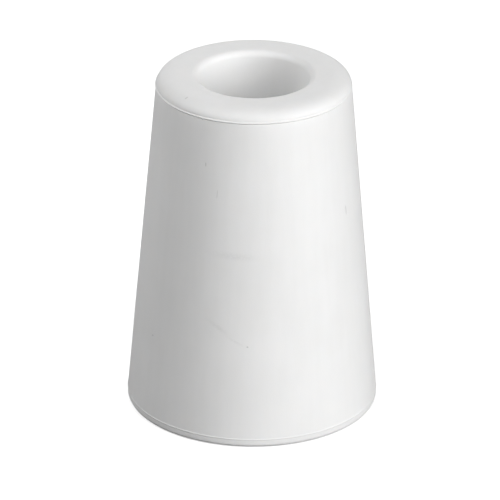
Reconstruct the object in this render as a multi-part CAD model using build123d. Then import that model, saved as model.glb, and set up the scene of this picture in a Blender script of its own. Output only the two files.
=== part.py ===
"""Screw-down rubber door stop: a tall tapered buffer with a reinforcing washer moulded into its web.

The stop stands on a floor, or is turned on its side on a wall, and a door swings against its flank. One wood
screw holds it. The screw goes down the deep recess from the top, through the washer and the rubber web below
it, and into a plug in the floor. Its head bears on the washer, so it can't pull through the rubber.

Frame: millimetres, +Z up. The origin is the centre of the base, on the surface that the stop stands on. The
screw is drawn as the stop is supplied: it stands loose in the recess, point down, and nothing shows below the
base.
"""

from build123d import *

import math
import os

# --- Moulding: outside -------------------------------------------------------------------------------------
height = 75.0
base_diameter = 53.6  # at the lower parting ridge, the widest place
base_band = 1.9  # the lower parting ridge is this far above the base, with an upright band below it
base_edge_radius = 0.9  # from the band round to the flat base
top_diameter = 41.5  # at the upper parting ridge, where the shoulder starts
shoulder_drop = 2.4  # the upper parting ridge is this far below the top
shoulder_reach = 4.4  # the shoulder runs in this far before it is flat
shoulder_flank_pull = 0.7  # share of the drop for which the shoulder still follows the flank
shoulder_rim_pull = 0.6  # share of the reach for which it still hugs the flat rim
least_rim = 0.5  # the flat ring between shoulder and lip is never narrower than this
parting_ridge_radius = 0.15  # thin ridge of rubber where the mould's plates met

# --- Moulding: inside --------------------------------------------------------------------------------------
recess_diameter = 23.7  # where the wall starts, straight below the lip
recess_draft = 1.0  # degrees that the wall leans in, so that the core pin pulls out
lip_radius = 1.45  # round edge between the flat top and the recess wall
web_height = 12.0  # floor of the recess above the base, level with the washer's upper face
rubber_hole_clearance = 0.5  # round the screw's shank, per side

# --- Reinforcing washer ------------------------------------------------------------------------------------
washer_thickness = 1.5
washer_grip = 2.3  # the washer's rim reaches this far into the rubber, all round
washer_hole_clearance = 0.25  # round the screw's shank, per side
washer_edge = 0.15  # broken edges

# --- Wood screw, 5 x 60, round head, cross recess ----------------------------------------------------------
screw_diameter = 5.0
screw_core_diameter = 3.5
screw_length = 60.0  # below the head
thread_length = 36.0
thread_pitch = 2.2
thread_root_width = 1.6  # along the axis, where the ridge starts inside the core
thread_root_sink = 0.44  # the ridge starts this far inside the core, so that the two join cleanly
thread_crest_width = 0.16  # along the axis, just outside the crest
thread_crest_trim = 0.4  # the ridge is swept this far past the crest, and trimmed back to it
point_length = 5.5
point_flat = 0.5  # diameter of the blunt end of the point
runout_length = 1.5  # where the thread fades into the shank
head_diameter = 10.0
head_height = 3.5
head_edge = 0.5  # upright rim of the head
head_crown_flat = 1.4  # diameter of the flat at the crown's middle
drive_span = 5.4  # across the cross recess
drive_wing = 1.2  # width of one wing
drive_depth = 2.5
drive_taper = 8.0  # degrees

# --- How the screw stands in the stop ----------------------------------------------------------------------
point_gap = 0.5  # the point stays this far above the base
seat_gap = 0.05  # left between head and washer when the screw is home

# Worked out from the sizes above.
base_radius = base_diameter / 2
top_radius = top_diameter / 2
upper_parting = height - shoulder_drop
flank_slope = (base_radius - top_radius) / (upper_parting - base_band)
recess_wall_top = height - lip_radius
recess_radius = recess_diameter / 2
floor_radius = recess_radius - (recess_wall_top - web_height) * math.tan(math.radians(recess_draft))
screw_radius = screw_diameter / 2
core_radius = screw_core_diameter / 2
washer_radius = floor_radius + washer_grip
washer_bottom = web_height - washer_thickness
head_seat = point_gap + screw_length  # underside of the head, as supplied
screw_travel = head_seat - web_height - seat_gap


def turned(section):
    """The solid of revolution about Z of a section drawn as (radius, height)."""
    return revolve(Plane.XZ * section, Axis.Z)


def rubber_body():
    """The moulding: flat base, tapered flank, round shoulder, and a deep recess above a thick web."""
    hole_radius = screw_radius + rubber_hole_clearance
    base_flat = base_radius - base_edge_radius
    lip_outer = recess_radius + lip_radius
    reach = min(shoulder_reach, top_radius - lip_outer - least_rim)
    rim_outer = top_radius - reach
    flank_pull = shoulder_flank_pull * shoulder_drop
    rim_pull = shoulder_rim_pull * reach

    base_edge_centre = (base_flat, base_edge_radius)
    lip_centre = (lip_outer, recess_wall_top)
    outline = [
        Line((hole_radius, 0), (base_flat, 0)),
        CenterArc(base_edge_centre, base_edge_radius, -90, 90),
        Line((base_radius, base_edge_radius), (base_radius, base_band)),
        Line((base_radius, base_band), (top_radius, upper_parting)),
        Bezier(
            (top_radius, upper_parting),
            (top_radius - flank_pull * flank_slope, upper_parting + flank_pull),
            (rim_outer + rim_pull, height),
            (rim_outer, height),
        ),
        Line((rim_outer, height), (lip_outer, height)),
        CenterArc(lip_centre, lip_radius, 90, 90),
        Line((recess_radius, recess_wall_top), (floor_radius, web_height)),
        # The pocket is the washer's own shape, because the rubber is moulded round it.
        Polyline(
            (floor_radius, web_height),
            *washer_rim(),
            (hole_radius, washer_bottom),
            (hole_radius, 0),
        ),
    ]
    section = make_face(outline)
    for radius, level in ((base_radius, base_band), (top_radius, upper_parting)):
        section += Pos(radius, level) * Circle(parting_ridge_radius)
    return turned(section)


def washer_rim():
    """The washer's outer edge as (radius, height), from its upper face to its lower face."""
    return [
        (washer_radius - washer_edge, web_height),
        (washer_radius, web_height - washer_edge),
        (washer_radius, washer_bottom + washer_edge),
        (washer_radius - washer_edge, washer_bottom),
    ]


def reinforcing_washer():
    """Wide steel washer with broken edges, level with the floor of the recess."""
    hole = screw_radius + washer_hole_clearance
    outline = Polyline(
        *washer_rim(),
        (hole + washer_edge, washer_bottom),
        (hole, washer_bottom + washer_edge),
        (hole, web_height - washer_edge),
        (hole + washer_edge, web_height),
        close=True,
    )
    return turned(make_face(outline))


def screw_thread():
    """Threaded end of the screw, point at the origin: a core and one helical ridge, cut to an envelope."""
    root_radius = core_radius - thread_root_sink
    crest_reach = screw_radius + thread_crest_trim - root_radius
    helix = Pos(0, 0, -thread_pitch) * Helix(thread_pitch, thread_length + thread_pitch, root_radius)
    start = Plane(origin=helix @ 0, x_dir=(1, 0, 0), z_dir=helix % 0)
    tooth = Polyline(
        (0, -thread_root_width / 2),
        (crest_reach, -thread_crest_width / 2),
        (crest_reach, thread_crest_width / 2),
        (0, thread_root_width / 2),
        close=True,
    )
    ridge = sweep(start * make_face(tooth), path=helix, is_frenet=True)
    overrun = 2 * thread_pitch  # the core runs past both ends of the ridge
    core = Pos(0, 0, -overrun) * Cylinder(
        core_radius, thread_length + 2 * overrun, align=(Align.CENTER, Align.CENTER, Align.MIN)
    )
    envelope = Polyline(
        (0, 0),
        (point_flat / 2, 0),
        (screw_radius, point_length),
        (screw_radius, thread_length - runout_length),
        (core_radius, thread_length),
        (0, thread_length),
        close=True,
    )
    return (core + ridge) & turned(make_face(envelope))


def screw_shank():
    """Plain shank from the thread to the head, widening from the thread's core to its full width."""
    shank = Polyline(
        (0, thread_length),
        (core_radius, thread_length),
        (screw_radius, thread_length + runout_length),
        (screw_radius, screw_length),
        (0, screw_length),
        close=True,
    )
    return turned(make_face(shank))


def screw_head():
    """Round head with an upright rim and a cross recess that narrows as it goes down."""
    rim = head_diameter / 2
    crown = screw_length + head_height
    rim_top = screw_length + head_edge
    flat = head_crown_flat / 2
    # The crown is an arc that is level at the flat's edge, so its centre is straight below that point.
    rise = crown - rim_top
    crown_radius = ((rim - flat) ** 2 + rise**2) / (2 * rise)
    sweep_angle = math.degrees(math.asin((rim - flat) / crown_radius))
    outline = [
        Line((0, screw_length), (rim, screw_length)),
        Line((rim, screw_length), (rim, rim_top)),
        CenterArc((flat, crown - crown_radius), crown_radius, 90 - sweep_angle, sweep_angle),
        Line((flat, crown), (0, crown)),
        Line((0, crown), (0, screw_length)),
    ]
    wing = Rectangle(drive_span, drive_wing)
    cross = Pos(0, 0, crown) * (wing + Rot(0, 0, 90) * wing)
    return turned(make_face(outline)) - extrude(cross, amount=-drive_depth, taper=drive_taper)


def fixing_screw():
    """The whole screw, standing in the recess as the stop is supplied."""
    return Pos(0, 0, point_gap) * (screw_thread() + screw_shank() + screw_head())


nodes = {
    "rubber_body": rubber_body(),
    "reinforcing_washer": reinforcing_washer(),
    "fixing_screw": fixing_screw(),
}

os.makedirs("parts", exist_ok=True)
for name, shape in nodes.items():
    export_step(shape, f"parts/{name}.step")
print(f"screw travel {screw_travel:.3f} mm, washer diameter {2 * washer_radius:.2f} mm")
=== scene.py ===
# %% [markdown]
# # A screw-down rubber door stop
#
# The object is a tall, tapered door stop, moulded in one shot from white rubber. A steel washer sits in its
# web, and the wood screw that holds it to the floor stands loose in the deep recess. The exact solids exist
# already, so this lesson is about their looks: the camera, a soft studio, the moulding with its parting
# ridges, and a finish for the rubber, the washer and the screw.
#
# Everything is in metres, with +Z up and the origin at the centre of the base. The first step loads the
# solids and notes how much room they take, so that the finished model can be compared with them at the end.

import math

import bpy
from mathutils import Euler, Matrix, Vector, noise


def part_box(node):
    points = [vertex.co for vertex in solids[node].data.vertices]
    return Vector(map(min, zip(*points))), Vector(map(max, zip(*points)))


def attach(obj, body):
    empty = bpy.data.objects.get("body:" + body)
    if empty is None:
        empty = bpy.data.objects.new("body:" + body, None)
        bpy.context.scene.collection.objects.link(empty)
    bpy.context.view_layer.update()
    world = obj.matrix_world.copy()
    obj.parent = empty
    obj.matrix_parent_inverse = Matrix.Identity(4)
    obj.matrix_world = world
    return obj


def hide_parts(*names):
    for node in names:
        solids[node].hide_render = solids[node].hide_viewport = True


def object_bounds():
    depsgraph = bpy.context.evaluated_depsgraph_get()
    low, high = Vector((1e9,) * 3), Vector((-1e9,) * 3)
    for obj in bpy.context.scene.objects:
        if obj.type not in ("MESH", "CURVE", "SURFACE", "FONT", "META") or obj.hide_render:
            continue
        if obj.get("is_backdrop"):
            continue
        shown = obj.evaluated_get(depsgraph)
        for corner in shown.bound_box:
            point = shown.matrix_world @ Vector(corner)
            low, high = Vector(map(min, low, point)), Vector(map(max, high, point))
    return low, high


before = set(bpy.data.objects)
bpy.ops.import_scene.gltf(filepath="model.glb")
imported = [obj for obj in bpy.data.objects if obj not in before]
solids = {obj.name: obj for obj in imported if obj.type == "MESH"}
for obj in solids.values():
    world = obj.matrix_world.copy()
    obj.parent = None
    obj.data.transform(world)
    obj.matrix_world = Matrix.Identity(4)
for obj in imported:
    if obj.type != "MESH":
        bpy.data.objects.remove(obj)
solid_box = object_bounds()
mm = 0.001
print("solids:", ", ".join(sorted(solids)))

# %% [markdown]
# ## The camera
#
# A long lens from a little over a metre away keeps the sides of the cone nearly straight, as a catalogue shot
# does. The camera looks down by 25 degrees, enough to see into the mouth of the recess. It is aimed a few
# millimetres below the middle of the stop, a little to the left of it, and turned by a fraction of a degree,
# because a hand-levelled tripod is never quite true. Moving the aim is better than a lens shift: other views
# of the same scene then stay centred.

# %% Camera
camera_distance = 1.300
camera_pitch = math.radians(25.0)
camera_roll = math.radians(0.38)
lens_length = 438.0  # in mm, and the sensor too
sensor_width = 36.0
nearest, furthest = 0.05, 20.0
aim_right = -0.62 * mm
aim_up = -3.31 * mm


def add_camera():
    """A long lens in front of the stop, looking down at it."""
    lens = bpy.data.cameras.new("camera")
    lens.lens = lens_length
    lens.sensor_width = sensor_width
    lens.clip_start = nearest
    lens.clip_end = furthest
    camera = bpy.data.objects.new("camera", lens)
    bpy.context.scene.collection.objects.link(camera)
    turn = Euler((math.pi / 2 - camera_pitch, 0, 0)).to_matrix()
    low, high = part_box("rubber_body")
    middle = (low + high) / 2
    place = middle + turn @ Vector((0, 0, camera_distance))
    sideways = Matrix.Rotation(-math.atan2(aim_right, camera_distance), 3, "Y")
    upwards = Matrix.Rotation(math.atan2(aim_up, camera_distance), 3, "X")
    roll = Matrix.Rotation(camera_roll, 3, "Z")
    camera.matrix_world = Matrix.Translation(place) @ (turn @ upwards @ sideways @ roll).to_4x4()
    bpy.context.scene.camera = camera
    return camera


camera = add_camera()
print("camera at", [round(v, 3) for v in camera.matrix_world.translation])

# %% [markdown]
# ## The section of the moulding
#
# The stop is round, so its whole shape is one closed outline, drawn as radius and height, and turned about
# the middle line. Drawing the outline here, rather than using the solid's own triangles, gives control over
# where the mesh is fine: the rows lie close together at the parting ridges and round the edges, and further
# apart on the plain flank. The numbers are the sizes of the solid itself.

# %% Sizes of the moulding
low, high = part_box("rubber_body")
middle = (low + high) / 2
height = high.z
base_radius = 26.8 * mm
base_band = 1.9 * mm
edge_radius = 0.9 * mm
top_radius = 20.75 * mm
shoulder_drop = 2.4 * mm
shoulder_reach = 4.4 * mm
flank_pull = 0.7 * shoulder_drop  # the shoulder still follows the flank for this long
rim_pull = 0.6 * shoulder_reach  # and it hugs the flat rim for this long
recess_radius = 11.85 * mm
lip_radius = 1.45 * mm
recess_draft = math.radians(1.0)
hole_radius = 3.0 * mm
washer_low, washer_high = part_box("reinforcing_washer")
washer_radius = washer_high.x
washer_edge = 0.15 * mm
upper_parting = height - shoulder_drop
lower_parting = base_band
lip_level = height - lip_radius
web_level = washer_high.z
floor_radius = recess_radius - (lip_level - web_level) * math.tan(recess_draft)
slope = (base_radius - top_radius) / (upper_parting - lower_parting)
print(f"height {height / mm:.1f} mm, recess {(height - web_level) / mm:.1f} mm deep")


# %% Lines, arcs and curves of the section
crowding = 1.4  # above 1, the points of a curve lie closer together near its start


def run(start, end, steps):
    """Points on a straight line, without the last one, so that runs can be joined."""
    return [tuple(a + (b - a) * i / steps for a, b in zip(start, end)) for i in range(steps)]


def arc(centre, radius, first, last, steps):
    """Points on an arc from one angle to another, in degrees, without the last one."""
    angles = [math.radians(first + (last - first) * i / steps) for i in range(steps)]
    return [(centre[0] + radius * math.cos(a), centre[1] + radius * math.sin(a)) for a in angles]


def bend(start, first_pull, second_pull, end, steps):
    """Points on a curve that leaves start towards the first pull and meets end from the second."""
    corners = (start, first_pull, second_pull, end)
    points = []
    for t in [(i / steps) ** crowding for i in range(steps)]:
        weights = ((1 - t) ** 3, 3 * t * (1 - t) ** 2, 3 * t * t * (1 - t), t**3)
        points.append(tuple(sum(w * c[axis] for w, c in zip(weights, corners)) for axis in (0, 1)))
    return points


def flank_point(level):
    """Radius and height of the plain cone at this height."""
    return (base_radius - (level - lower_parting) * slope, level)


# %% The whole section
fine_band = 0.5 * mm  # rows are fine this far each side of a parting ridge
fine_rows = 10
base_rows = 6
edge_rows = 10
band_rows = 3
flank_rows = 36
shoulder_rows = 40
rim_rows = 4
lip_rows = 16
wall_rows = 20
hole_rows = 4
rim = (top_radius - shoulder_reach, height)  # where the shoulder meets the flat rim


def outside_rows():
    """The flank and the shoulder, from the lower parting ridge up to the flat rim."""
    low_end = flank_point(lower_parting + fine_band)
    high_start = flank_point(upper_parting - fine_band)
    rows = run(flank_point(lower_parting), low_end, fine_rows)
    rows += run(low_end, high_start, flank_rows)
    rows += run(high_start, flank_point(upper_parting), fine_rows)
    first_pull = flank_point(upper_parting + flank_pull)
    second_pull = (rim[0] + rim_pull, height)
    rows += bend(flank_point(upper_parting), first_pull, second_pull, rim, shoulder_rows)
    return rows


def section_rows():
    """The closed outline, from the hole in the base round the outside and back down the recess."""
    base_flat = base_radius - edge_radius
    lip_outer = recess_radius + lip_radius
    washer_rim = [
        (washer_radius - washer_edge, web_level),
        (washer_radius, web_level - washer_edge),
        (washer_radius, washer_low.z + washer_edge),
        (washer_radius - washer_edge, washer_low.z),
    ]
    rows = run((hole_radius, 0), (base_flat, 0), base_rows)
    rows += arc((base_flat, edge_radius), edge_radius, -90, 0, edge_rows)
    rows += run((base_radius, edge_radius), (base_radius, lower_parting - fine_band), band_rows)
    rows += run((base_radius, lower_parting - fine_band), (base_radius, lower_parting), fine_rows)
    rows += outside_rows()
    rows += run(rim, (lip_outer, height), rim_rows)
    rows += arc((lip_outer, lip_level), lip_radius, 90, 180, lip_rows)
    rows += run((recess_radius, lip_level), (floor_radius, web_level), wall_rows)
    rows += [(floor_radius, web_level)] + washer_rim
    rows += run((hole_radius, washer_low.z), (hole_radius, 0), hole_rows)
    return rows


section = section_rows()
print(len(section), "rows in the section")

# %% [markdown]
# ## The parting ridges
#
# The mould came apart at two levels: at the widest place near the base, and under the shoulder. Rubber
# creeps into the joint and leaves a thin raised line there. On a real moulding that line is never even: it is
# high in one place and nearly gone in another, its level wanders, and the part above the joint sits a hair to
# one side of the part below. All of that is shape, so it goes into the mesh rather than into a bump map.
# Smooth noise that is read round a circle gives an unevenness that meets itself after a full turn. How many
# lobes a full turn has sets how quickly it changes.

# %% Unevenness of the ridges
ridge_width = 0.12 * mm  # half of the line's width
groove_gap = 0.30 * mm  # a shallow hollow runs along the upper ridge, this far above it and below it
strong_turn = math.radians(-40)  # the ridges are highest here, at the front left
ridges = [
    {"level": lower_parting, "rise": 0.10 * mm, "groove": 0.0, "fade": 0.6, "seed": 3.0},
    {"level": upper_parting, "rise": 0.30 * mm, "groove": 0.05 * mm, "fade": 0.90, "seed": 11.0},
]
least_ridge, most_ridge = 0.15, 1.15  # limits of the unevenness, as shares of a ridge's rise
burr_start = 0.45  # only the peaks of the quickest noise above this are burrs
drift = 0.05 * mm  # how far a ridge's level wanders
mould_shift = 0.02 * mm  # how far the shoulder's half of the mould stands off to one side
flank_wave = 0.03 * mm  # how far the flank swells and sinks
wave_height = 18 * mm


def wander(angle, lobes, seed):
    """Smooth noise round a circle, from about -1 to 1."""
    reach = lobes / math.tau
    return noise.noise(Vector((reach * math.cos(angle), reach * math.sin(angle), seed)))


def bell(distance, width):
    """1 in the middle, falling smoothly to nothing at about twice the width."""
    return math.exp(-((distance / width) ** 2))


def ridge_height(angle, ridge):
    """How high a parting ridge stands at this angle, with weak places and a few burrs."""
    even = 0.8 + 0.4 * wander(angle, 20, ridge["seed"]) + 0.3 * wander(angle, 90, ridge["seed"] + 1)
    burr = max(0.0, wander(angle, 260, ridge["seed"] + 2) - burr_start) * 2
    away = 0.5 - 0.5 * math.cos(angle - strong_turn)
    share = min(most_ridge, max(least_ridge, even + burr))
    return ridge["rise"] * share * (1 - ridge["fade"] * away)


def relief(angle, level):
    """How far the rubber stands proud of the plain cone at this angle and height."""
    round_place = Vector((2 * math.cos(angle), 2 * math.sin(angle), level / wave_height))
    proud = flank_wave * noise.noise(round_place)
    for ridge in ridges:
        above = level - ridge["level"] - drift * wander(angle, 14, ridge["seed"] + 5)
        deep = ridge["groove"] * max(0.0, 0.8 + 0.9 * wander(angle, 30, ridge["seed"] + 7))
        proud += ridge_height(angle, ridge) * bell(above, ridge_width)
        proud -= deep * (bell(above - groove_gap, ridge_width) + bell(above + groove_gap, ridge_width))
    return proud


def shoulder_offset(angle, level):
    """The shift of the shoulder's half of the mould, which fades out towards the flat rim."""
    fade = min(1.0, max(0.0, (height - level) / shoulder_drop))
    return mould_shift * math.cos(angle - strong_turn) * fade


for ridge in ridges:
    tallest = max(ridge_height(math.radians(turn), ridge) for turn in range(360))
    print(f"the ridge at {ridge['level'] / mm:.1f} mm stands {tallest / mm:.2f} mm proud at most")

# %% [markdown]
# ## Turning the section into a mesh
#
# A Screw or Spin modifier could turn the outline, but then every ring would be a perfect circle. Writing the
# rings out in code lets each point be moved by the relief above. The outline is closed, so the mesh is one
# watertight ring of quads. Edges where the outline turns sharply are marked, so that smooth shading doesn't
# smear across them.

# %% Build the moulding
turns = 480  # points round each ring
sharp_turn = math.radians(32)
rounding = 1e-9  # two sums of floats that should be equal may differ by this much


def ring_point(radius, level, angle, is_outside):
    """One point of the mesh. Angle 0 faces the front, and it grows to the right."""
    if is_outside:
        radius += relief(angle, level)
        if level > upper_parting:
            radius += shoulder_offset(angle, level)
    return (radius * math.sin(angle), -radius * math.cos(angle), level)


def corner_turn(rows, index):
    """How sharply the outline turns at a row."""
    here = Vector(rows[index])
    before = here - Vector(rows[index - 1])
    after = Vector(rows[(index + 1) % len(rows)]) - here
    return abs(before.angle_signed(after, 0.0))


def turned_mesh(name, rows, first_outside, last_outside):
    """A closed mesh of rings, one ring for each row of the outline."""
    points = []
    for index, (radius, level) in enumerate(rows):
        is_outside = first_outside <= index <= last_outside
        for step in range(turns):
            points.append(ring_point(radius, level, math.tau * step / turns, is_outside))
    faces = []
    for index in range(len(rows)):
        above = (index + 1) % len(rows)
        for step in range(turns):
            aside = (step + 1) % turns
            lower, upper = index * turns, above * turns
            faces.append((lower + step, lower + aside, upper + aside, upper + step))
    mesh = bpy.data.meshes.new(name)
    mesh.from_pydata(points, [], faces)
    mesh.shade_smooth()
    sharp_rows = {i for i in range(len(rows)) if corner_turn(rows, i) > sharp_turn}
    for edge in mesh.edges:
        first, second = edge.vertices
        if first // turns == second // turns and first // turns in sharp_rows:
            edge.use_edge_sharp = True
    return mesh


first_flank = next(i for i, row in enumerate(section) if row[0] >= base_radius - rounding)
last_shoulder = next(i for i, row in enumerate(section) if row[1] >= height - rounding) - 1
moulding_mesh = turned_mesh("moulding", section, first_flank, last_shoulder)
moulding = bpy.data.objects.new("moulding", moulding_mesh)
bpy.context.scene.collection.objects.link(moulding)
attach(moulding, "stop")
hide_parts("rubber_body")
print(len(moulding_mesh.polygons), "faces in the moulding")

# %% [markdown]
# ## A short way to write materials
#
# Materials are made of nodes. Wiring them one by one hides what a pattern means, so a small class lets them
# be written as sums. It holds one output of a node. Adding or multiplying it makes the Math node that does
# so, and one method adds any other kind of node.


# %% Wires
class Wire:
    """One output of a node. Arithmetic on it adds Math nodes."""

    def __init__(self, tree, socket=None):
        self.tree = tree
        self.socket = socket

    def node(self, kind, settings=None, sockets=None, output=0):
        """Adds a node: its settings first, then a value or a link for each socket. Gives one output."""
        made = self.tree.nodes.new(kind)
        for name, value in (settings or {}).items():
            setattr(made, name, value)
        for name, value in (sockets or {}).items():
            if isinstance(value, Wire):
                self.tree.links.new(value.socket, made.inputs[name])
            else:
                made.inputs[name].default_value = value
        return Wire(self.tree, made.outputs[output])

    def output(self, name):
        """Another output of the same node."""
        return Wire(self.tree, self.socket.node.outputs[name])

    def into(self, shader, name):
        """Links this wire to a shader's socket."""
        self.tree.links.new(self.socket, shader.inputs[name])

    def maths(self, operation, *values):
        """Adds a Math node on these wires and numbers."""
        return self.node("ShaderNodeMath", {"operation": operation}, dict(enumerate(values)))

    def __add__(self, other):
        return self.maths("ADD", self, other)

    def __sub__(self, other):
        return self.maths("SUBTRACT", self, other)

    def __rsub__(self, other):
        return self.maths("SUBTRACT", other, self)

    def __mul__(self, other):
        return self.maths("MULTIPLY", self, other)

    def __abs__(self):
        return self.maths("ABSOLUTE", self)

    __radd__ = __add__
    __rmul__ = __mul__


# %% Patterns that every finish uses
def position(tree):
    """The point on the piece, in metres."""
    return Wire(tree).node("ShaderNodeTexCoord", output="Object")


def stretched(place, x, y, z):
    """The same point with each direction multiplied, so that a pattern is drawn out along one of them."""
    return place.node("ShaderNodeVectorMath", {"operation": "MULTIPLY"}, {0: place, 1: (x, y, z)})


def mottle(place, size, detail=2.0, rough=0.5):
    """Soft noise from 0 to 1, with patches of about this size in metres."""
    sockets = {"Vector": place, "Scale": 1 / size, "Detail": detail, "Roughness": rough}
    return place.node("ShaderNodeTexNoise", {"noise_dimensions": "3D"}, sockets)


def step_up(value, low, high):
    """0 below low, 1 above high, and smooth between them."""
    sockets = {"Value": value, "From Min": low, "From Max": high}
    return value.node("ShaderNodeMapRange", {"interpolation_type": "SMOOTHSTEP"}, sockets)


def mixed(mask, first, second):
    """Colour that goes from first to second as the mask goes from 0 to 1."""
    return mask.node("ShaderNodeMix", {"data_type": "RGBA"}, {0: mask, 6: first, 7: second}, output=2)


def bumped(heights, distance):
    """A normal from a height pattern, whose 0 to 1 is this distance in metres."""
    return heights.node("ShaderNodeBump", None, {"Height": heights, "Strength": 1.0, "Distance": distance})


def new_material(name):
    """A material with one Principled shader. Gives the material and the shader."""
    material = bpy.data.materials.new(name)
    material.use_nodes = True
    return material, material.node_tree.nodes["Principled BSDF"]


# %% [markdown]
# ## White rubber
#
# Rubber of this kind is white all through, smooth but not glossy, and it lets a little light in, which
# softens the edges of shadows. A single grey-white would look like plaster, so four patterns break it up:
# soft clouds where the pigment is uneven, faint upright streaks where the moulding dragged on its way out of
# the mould, a fine grain from the mould's blasted surface, and a few small marks of handling.


# %% Marks of handling
# Each stroke: turn from the front in degrees, height, length and width in mm, lean from upright in degrees.
scratches = [
    {"turn": -27.5, "up": 62.5, "long": 1.1, "wide": 0.30, "lean": -4},
    {"turn": -20.0, "up": 56.4, "long": 2.4, "wide": 0.14, "lean": 3},
    {"turn": 59.3, "up": 48.8, "long": 2.6, "wide": 0.35, "lean": 0},
    {"turn": -2.4, "up": 22.9, "long": 0.5, "wide": 0.40, "lean": -70},
    {"turn": -57.0, "up": 20.1, "long": 0.5, "wide": 0.45, "lean": 20},
    {"turn": -48.7, "up": 74.7, "long": 0.3, "wide": 0.40, "lean": 0},
    {"turn": 147.0, "up": 34.0, "long": 3.2, "wide": 0.30, "lean": 12},
    {"turn": -128.0, "up": 51.0, "long": 1.4, "wide": 0.30, "lean": -8},
]
smudges = [
    {"turn": -17.0, "up": 26.8, "long": 9.0, "wide": 1.6, "lean": -58},
    {"turn": -8.0, "up": 23.9, "long": 6.0, "wide": 0.8, "lean": -62},
    {"turn": -10.0, "up": 43.0, "long": 15.0, "wide": 2.4, "lean": -88},
    {"turn": 118.0, "up": 18.0, "long": 10.0, "wide": 2.0, "lean": 64},
    {"turn": -150.0, "up": 30.0, "long": 12.0, "wide": 1.8, "lean": 80},
]
mean_radius = 24 * mm  # of the flank, to turn an angle into a distance


def polar(place):
    """Distance round the flank from the front, to the right, and height, both in metres."""
    apart = place.node("ShaderNodeSeparateXYZ", None, {"Vector": place})
    towards_front = apart.output("Y") * -1
    angle = place.maths("ARCTAN2", apart.output("X"), towards_front)
    return angle * mean_radius, apart.output("Z")


def stroke(around, up, mark, softness):
    """1 on a stroke and 0 off it. Softness is the share of its half width over which it fades."""
    sideways = around - math.radians(mark["turn"]) * mean_radius
    upwards = up - mark["up"] * mm
    lean = math.radians(mark["lean"])
    along = abs(sideways * math.sin(lean) + upwards * math.cos(lean))
    across = abs(sideways * math.cos(lean) - upwards * math.sin(lean))
    half_width = mark["wide"] / 2 * mm
    half_length = mark["long"] / 2 * mm
    narrow = 1 - step_up(across, (1 - softness) * half_width, half_width)
    short = 1 - step_up(along, (1 - softness) * half_length, half_length)
    return narrow * short


def strokes(around, up, marks, softness):
    """All the strokes of a list together."""
    total = 0.0
    for mark in marks:
        total = total + stroke(around, up, mark, softness)
    return total


# %% Rubber
dull_white = (0.86, 0.86, 0.855, 1)
clear_white = (0.89, 0.89, 0.887, 1)
smudge_grey = (0.42, 0.42, 0.41, 1)
scratch_grey = (0.30, 0.30, 0.29, 1)


def rubber():
    """White rubber with clouds, streaks, grain and the marks of handling."""
    material, shader = new_material("white rubber")
    place = position(material.node_tree)
    around, up = polar(place)

    clouds = mottle(place, 14 * mm, detail=3.0)
    streaks = mottle(stretched(place, 1.0, 1.0, 0.08), 1.6 * mm, detail=2.0)
    grain = mottle(place, 0.35 * mm, detail=3.0, rough=0.6)
    scratched = strokes(around, up, scratches, softness=0.6)
    smudged = strokes(around, up, smudges, softness=1.0) * step_up(grain, 0.25, 0.6)

    tone = step_up(clouds * 0.7 + streaks * 0.3, 0.3, 0.7)
    clean = mixed(tone, dull_white, clear_white)
    rubbed = mixed(smudged * 0.12, clean, smudge_grey)
    mixed(scratched * 0.4, rubbed, scratch_grey).into(shader, "Base Color")

    dullness = 0.5 + 0.12 * clouds + 0.06 * grain - 0.1 * smudged
    dullness.into(shader, "Roughness")

    surface = grain * 0.6 + streaks * 0.4 - scratched * 1.5
    bumped(surface, 0.02 * mm).into(shader, "Normal")
    shader.inputs["Subsurface Weight"].default_value = 0.15
    shader.inputs["Subsurface Radius"].default_value = (1.0, 0.9, 0.8)
    shader.inputs["Subsurface Scale"].default_value = 1.5 * mm
    shader.inputs["Specular IOR Level"].default_value = 0.3
    return material


moulding_mesh.materials.append(rubber())
print(len(scratches), "scratches and", len(smudges), "smudges")

# %% [markdown]
# ## Steel
#
# The washer is stamped from sheet and plated with dull zinc, and its faces keep fine rings from the press
# tool and a few scuffs. The screw is rolled from wire and plated brighter: the drawing of the wire shows as
# hair lines along it, and the plating is a little uneven and has a few dull spots. Both are metal all over,
# so only their colour, roughness and bump vary.


# %% Washer
washer_dark = (0.62, 0.63, 0.64, 1)
washer_light = (0.80, 0.81, 0.82, 1)
ring_gap = 0.22 * mm


def washer_steel():
    """Dull zinc plate with rings about the washer's middle."""
    material, shader = new_material("washer steel")
    place = position(material.node_tree)
    flattened = stretched(place, 1.0, 1.0, 0.0)
    radius = place.node("ShaderNodeVectorMath", {"operation": "LENGTH"}, {0: flattened}, output=1)
    sockets = {"W": radius, "Scale": 1 / ring_gap}
    rings = place.node("ShaderNodeTexNoise", {"noise_dimensions": "1D"}, sockets)
    patches = mottle(place, 3 * mm, detail=4.0)
    scuffs = mottle(stretched(place, 1.0, 0.1, 1.0), 0.3 * mm, detail=3.0)
    plating = step_up(patches * 0.7 + scuffs * 0.3, 0.3, 0.7)
    mixed(plating, washer_dark, washer_light).into(shader, "Base Color")
    (0.28 + 0.18 * scuffs + 0.12 * patches).into(shader, "Roughness")
    bumped(rings * 0.7 + scuffs * 0.3, 0.012 * mm).into(shader, "Normal")
    shader.inputs["Metallic"].default_value = 1.0
    return material


# %% Screw
screw_blue = (0.70, 0.72, 0.75, 1)
screw_warm = (0.84, 0.83, 0.80, 1)
spot_grey = (0.42, 0.42, 0.42, 1)


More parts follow.
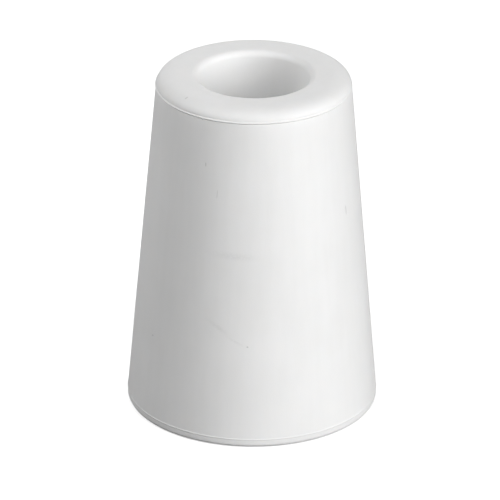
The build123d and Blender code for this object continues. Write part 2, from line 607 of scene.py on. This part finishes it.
def screw_steel():
    """Bright zinc plate with hair lines along the screw and a few dull spots."""
    material, shader = new_material("screw steel")
    place = position(material.node_tree)
    patches = mottle(place, 2 * mm, detail=4.0)
    drawn = mottle(stretched(place, 1.0, 1.0, 0.05), 0.25 * mm, detail=3.0)
    spots = step_up(mottle(place, 0.8 * mm, detail=2.0), 0.66, 0.74)
    bright = mixed(patches, screw_blue, screw_warm)
    mixed(spots * 0.5, bright, spot_grey).into(shader, "Base Color")
    (0.18 + 0.16 * drawn + 0.25 * spots).into(shader, "Roughness")
    bumped(drawn, 0.008 * mm).into(shader, "Normal")
    shader.inputs["Metallic"].default_value = 1.0
    return material


for node, finish in (("reinforcing_washer", washer_steel()), ("fixing_screw", screw_steel())):
    for slot in solids[node].material_slots:
        slot.material = finish
    print(node, "gets", finish.name)

# %% [markdown]
# ## Lights
#
# White rubber shows its shape only through slow changes of grey, so the light comes from large soft panels.
# The strongest stands low on the right, so that it also reaches down the left wall of the recess. Weaker ones
# brighten the front, the left edge and the back. The one on the left is small and near, so its light fades
# from the shoulder down to the base. The one overhead shines straight down the recess, for the washer and the
# screw. One point light would be simpler, but it would give hard shadows that a catalogue shot doesn't have.

# %% Panels
# Each panel: turn from the front and rise above level in degrees, distance and side in metres, power in
# watts.
panels = {
    "key": {"turn": 50, "rise": 20, "away": 1.4, "size": 0.9, "power": 19.0},
    "front": {"turn": -30, "rise": 45, "away": 1.4, "size": 0.9, "power": 6.4},
    "left": {"turn": -108, "rise": 34, "away": 0.4, "size": 0.25, "power": 0.57},
    "behind right": {"turn": 150, "rise": 45, "away": 1.4, "size": 0.9, "power": 1.2},
    "behind low": {"turn": 185, "rise": 8, "away": 1.4, "size": 0.9, "power": 7.0},
    "overhead": {"turn": 0, "rise": 90, "away": 1.4, "size": 0.6, "power": 0.5},
}


def add_panel(name, turn, rise, away, size, power):
    """A square panel that faces the middle of the stop. Turn grows to the right."""
    light = bpy.data.lights.new(name, "AREA")
    light.shape = "SQUARE"
    light.size = size
    light.energy = power
    panel = bpy.data.objects.new(name, light)
    bpy.context.scene.collection.objects.link(panel)
    swing = Euler((math.pi / 2 - math.radians(rise), 0, math.radians(turn))).to_matrix()
    place = middle + swing @ Vector((0, 0, away))
    panel.matrix_world = Matrix.Translation(place) @ swing.to_4x4()
    panel.visible_camera = False


for name, panel in panels.items():
    add_panel(name, **panel)
print(len(panels), "panels")


# %% Sky
def add_sky(strength):
    """A faint even sky, so that nothing turned away from the panels goes quite black."""
    sky = bpy.data.worlds.new("sky")
    sky.use_nodes = True
    sky.node_tree.nodes["Background"].inputs["Color"].default_value = (1.0, 1.0, 1.0, 1.0)
    sky.node_tree.nodes["Background"].inputs["Strength"].default_value = strength
    bpy.context.scene.world = sky


add_sky(0.02)
bpy.context.scene.view_settings.view_transform = "Standard"

# %% [markdown]
# ## Floor
#
# The stop stands on matt white board, which glows a little so that it stays white right up to the base. A
# board that bright would throw too much light back up and flatten the cone. So the white board is only looked
# at, and a grey card just below it does the bouncing. The card is left out of the picture, as a
# photographer's card is. Both lie a hair below the base, because two faces in one plane would flicker.


# %% Boards
board_reach = 3.0
fibre_size = 1.5 * mm
fibre_contrast = 0.01  # a fibre is this much lighter or darker than the sheet


def add_board(name, level, grey, glow):
    """A square sheet, far larger than the view, with a faint grain of paper fibres."""
    corners = [
        (-board_reach, -board_reach, level),
        (board_reach, -board_reach, level),
        (board_reach, board_reach, level),
        (-board_reach, board_reach, level),
    ]
    mesh = bpy.data.meshes.new(name)
    mesh.from_pydata(corners, [], [(0, 1, 2, 3)])
    board = bpy.data.objects.new(name, mesh)
    bpy.context.scene.collection.objects.link(board)
    material, shader = new_material(name)
    fibres = mottle(position(material.node_tree), fibre_size, detail=3.0)
    darker = (grey - fibre_contrast,) * 3 + (1,)
    lighter = (grey + fibre_contrast,) * 3 + (1,)
    mixed(fibres, darker, lighter).into(shader, "Base Color")
    shader.inputs["Roughness"].default_value = 0.9
    shader.inputs["Specular IOR Level"].default_value = 0.0
    shader.inputs["Emission Color"].default_value = (1.0, 1.0, 1.0, 1.0)
    shader.inputs["Emission Strength"].default_value = glow
    material.cycles.emission_sampling = "NONE"  # the glow is for the eye and isn't a lamp
    mesh.materials.append(material)
    board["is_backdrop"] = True
    return board


white_board = add_board("floor", -0.05 * mm, grey=0.9, glow=0.5)
white_board.visible_diffuse = False
white_board.visible_glossy = False
white_board.visible_shadow = False
bounce_card = add_board("bounce card", -0.15 * mm, grey=0.26, glow=0.0)
bounce_card.visible_camera = False

# %% [markdown]
# ## Print both sizes and finish
#
# Both boxes, the solids' and the finished model's, are printed in millimetres.

# %% Finish
look_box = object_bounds()
boxes = {
    "solids": [list(corner) for corner in solid_box],
    "looks": [list(corner) for corner in look_box],
}
for name, (lowest, highest) in boxes.items():
    print(name, [round((b - a) / mm, 2) for a, b in zip(lowest, highest)], "mm")
